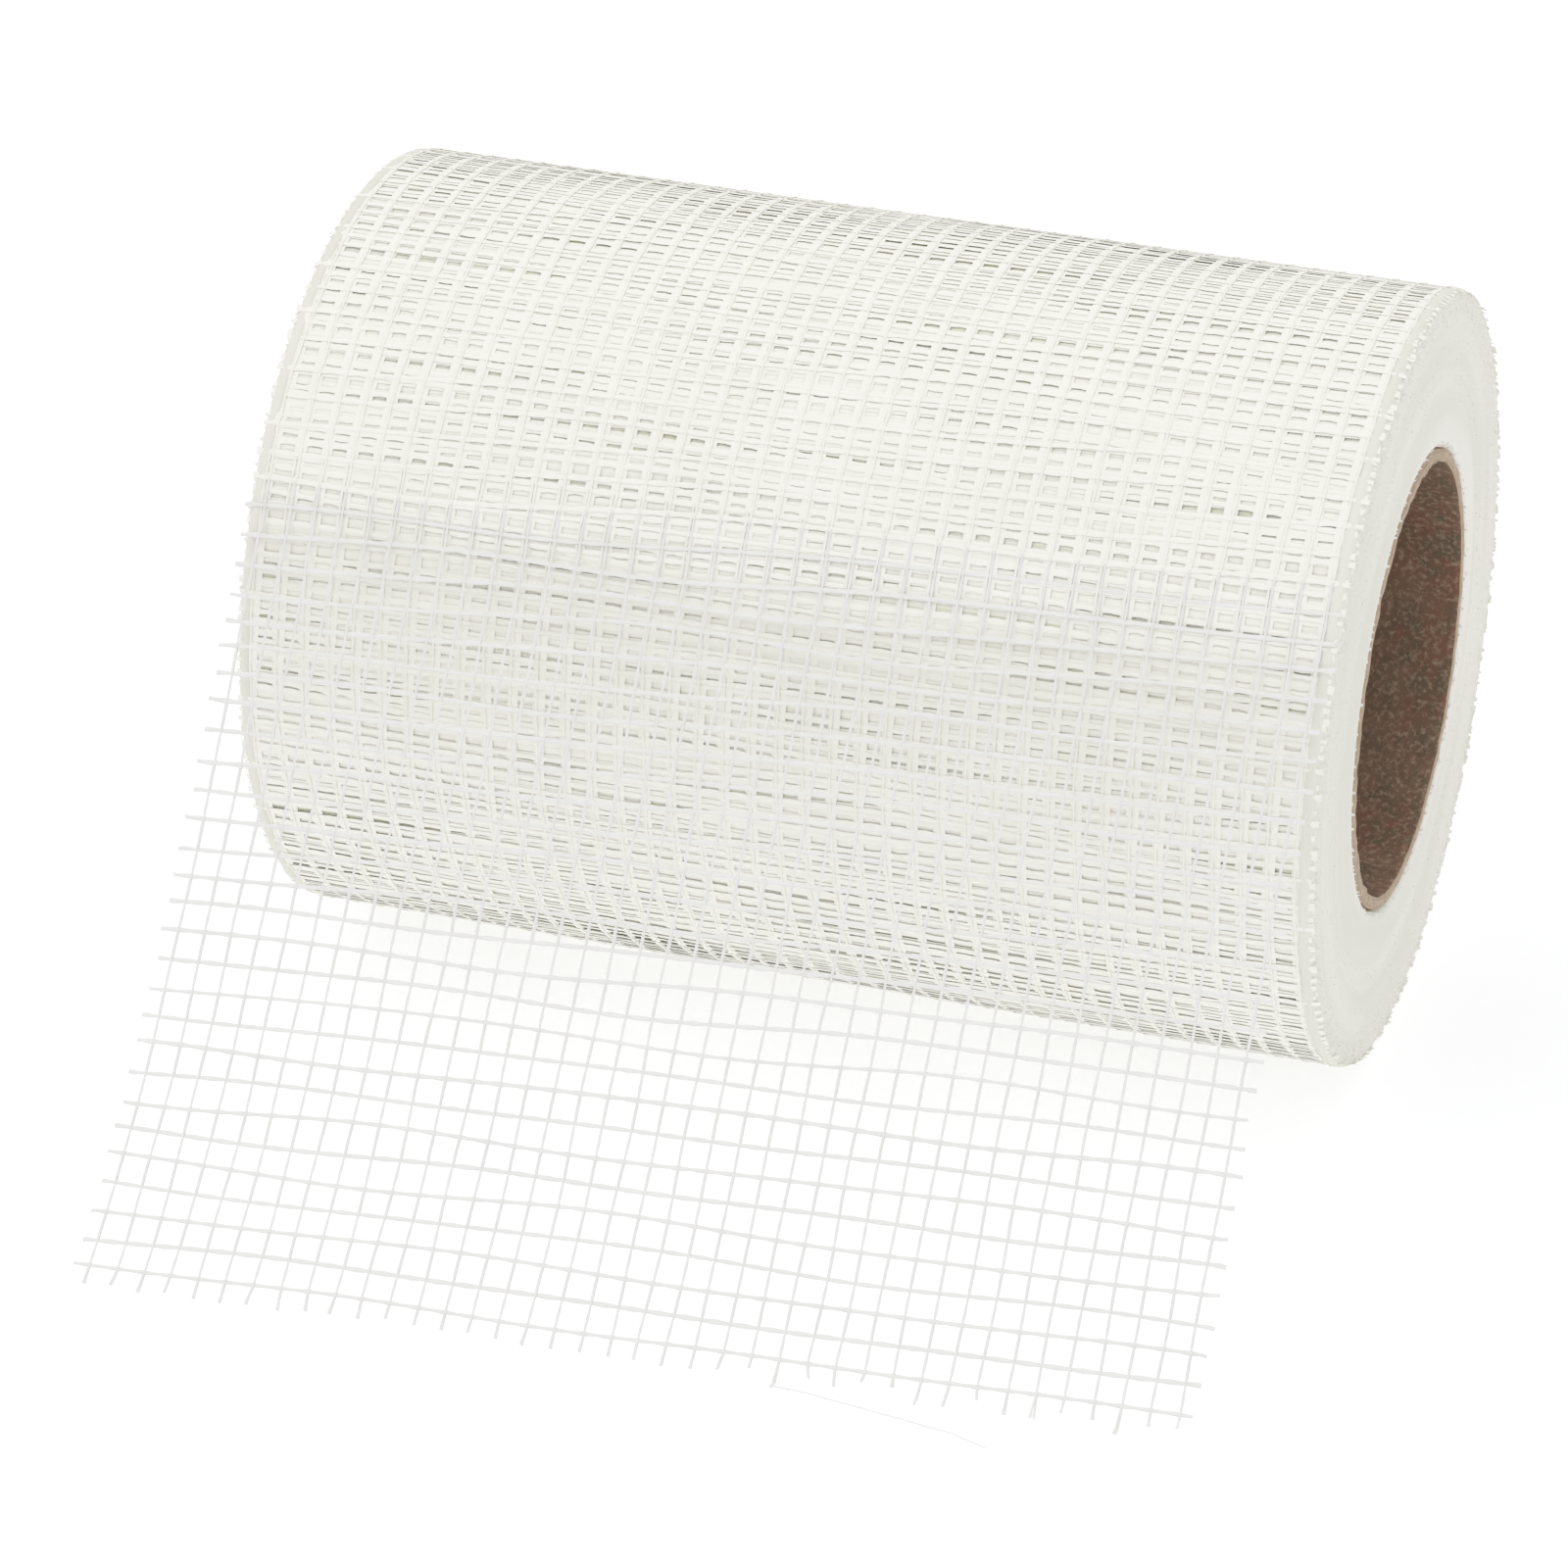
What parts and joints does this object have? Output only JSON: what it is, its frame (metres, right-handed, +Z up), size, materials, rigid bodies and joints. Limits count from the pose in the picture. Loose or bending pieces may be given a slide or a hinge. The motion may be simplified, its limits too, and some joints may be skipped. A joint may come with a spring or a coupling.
{
  "type": "fiberglass mesh roll",
  "caption": "Roll of open-weave fiberglass reinforcing mesh on a cardboard core, lying on its side with its loose end unrolled in front.",
  "frame": {"origin": "on the floor under the middle of the roll, at the middle of the line along which the roll touches the floor", "axes": "+X along the roll's axis, towards the end that shows the core; +Z up; the loose end comes down towards -Y"},
  "size_m": [0.2, 0.2287, 0.1425],
  "materials": {
    "fiberglass": "matte white coated glass yarns in an open grid",
    "cardboard": "bare grey-brown board, wound in plies, with a paler cut end"
  },
  "bodies": {
    "root": {"mesh_web": "fiberglass", "core_tube": "cardboard"}
  },
  "joints": []
}
